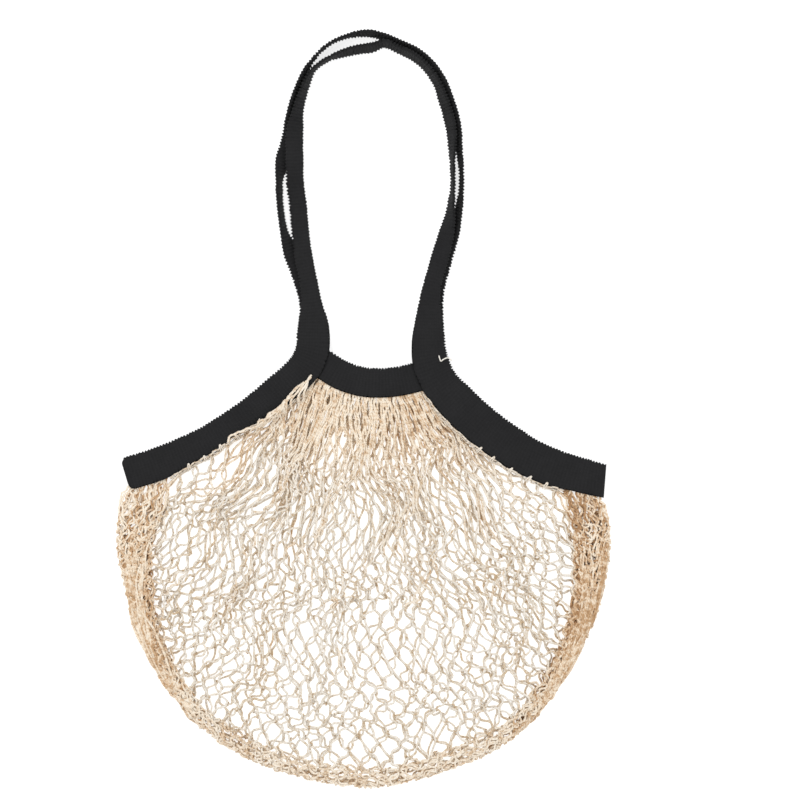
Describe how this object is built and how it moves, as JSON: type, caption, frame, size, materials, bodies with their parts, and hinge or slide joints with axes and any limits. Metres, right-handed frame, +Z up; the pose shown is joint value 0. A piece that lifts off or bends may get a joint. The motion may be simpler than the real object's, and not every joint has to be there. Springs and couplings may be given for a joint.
{
  "type": "string bag",
  "caption": "Empty net shopping bag lying flat: a diamond cotton net pouch hung between black knitted tapes that run on as long shoulder handles.",
  "frame": {"origin": "centre of the lying bag's plan, on the surface that it lies on", "axes": "+X to the bag's right as seen from above, +Y from the net to the handles, +Z up, away from the surface"},
  "size_m": [0.4011, 0.6155, 0.0191],
  "materials": {
    "net_cotton": "matt twisted cotton string, natural ecru",
    "tape_cotton": "matt knitted cotton tape, charcoal black, with fine cross ribs",
    "thread": "off-white sewing thread"
  },
  "bodies": {
    "root": {"net": "net_cotton", "front_tape": "tape_cotton", "back_tape": "tape_cotton", "front_mouth_band": "tape_cotton", "back_mouth_band": "tape_cotton", "thread_end": "thread"}
  },
  "joints": []
}
